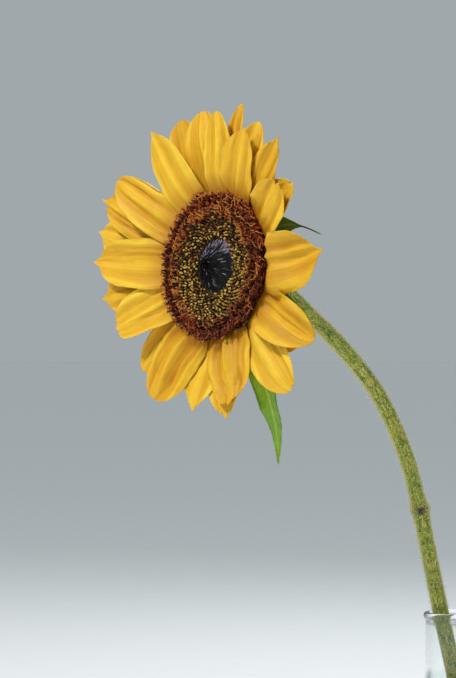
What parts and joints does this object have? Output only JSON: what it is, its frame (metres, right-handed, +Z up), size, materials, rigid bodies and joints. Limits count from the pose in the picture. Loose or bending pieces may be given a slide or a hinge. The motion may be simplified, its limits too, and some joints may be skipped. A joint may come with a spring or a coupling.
{
  "type": "cut sunflower in a glass bud vase",
  "caption": "Cut sunflower bloom on an arching hairy stem, standing in a clear round glass bud vase with a narrow neck.",
  "frame": {"origin": "middle of the vase's flat underside", "axes": "+Z up along the vase's axis; the stem leans and arches towards -X, and the flower faces between -X and -Y"},
  "size_m": [0.2079, 0.1624, 0.3889],
  "materials": {
    "glass": "clear glass, polished",
    "stem_green": "hairy green stem, matt",
    "receptacle_green": "hairy green, matt",
    "bract_green": "leafy, slightly glossy",
    "leaf_green": "leafy, slightly glossy",
    "petal_yellow": "satin yellow petal",
    "open_floret": "matt red-brown florets",
    "bud_floret": "matt yellow-tipped florets",
    "eye_floret": "satin blue-black scales"
  },
  "bodies": {
    "root": {"vase": "glass", "stem_lower": "stem_green", "stem_middle": "stem_green", "stem_upper": "stem_green", "receptacle": "receptacle_green", "open_florets": "open_floret", "bud_florets": "bud_floret", "eye_florets": "eye_floret", "petal_01": "petal_yellow", "petal_02": "petal_yellow", "petal_03": "petal_yellow", "petal_04": "petal_yellow", "petal_05": "petal_yellow", "petal_06": "petal_yellow", "petal_07": "petal_yellow", "petal_08": "petal_yellow", "petal_09": "petal_yellow", "petal_10": "petal_yellow", "petal_11": "petal_yellow", "petal_12": "petal_yellow", "petal_13": "petal_yellow", "petal_14": "petal_yellow", "petal_15": "petal_yellow", "petal_16": "petal_yellow", "petal_17": "petal_yellow", "petal_18": "petal_yellow", "petal_19": "petal_yellow", "petal_20": "petal_yellow", "petal_21": "petal_yellow", "petal_22": "petal_yellow", "petal_23": "petal_yellow", "petal_24": "petal_yellow", "petal_25": "petal_yellow", "bract_01": "bract_green", "bract_02": "bract_green", "bract_03": "bract_green", "bract_04": "bract_green", "bract_05": "bract_green", "bract_06": "bract_green", "bract_07": "bract_green", "bract_08": "bract_green", "bract_09": "bract_green", "bract_10": "bract_green", "bract_11": "bract_green", "bract_12": "bract_green", "bract_13": "bract_green", "bract_14": "bract_green", "bract_15": "bract_green", "bract_16": "bract_green", "bract_17": "bract_green", "bract_18": "bract_green", "bract_19": "bract_green", "bract_20": "bract_green", "bract_21": "bract_green", "bract_22": "bract_green", "bract_23": "bract_green", "bract_24": "bract_green", "hanging_leaf": "leaf_green"}
  },
  "joints": []
}
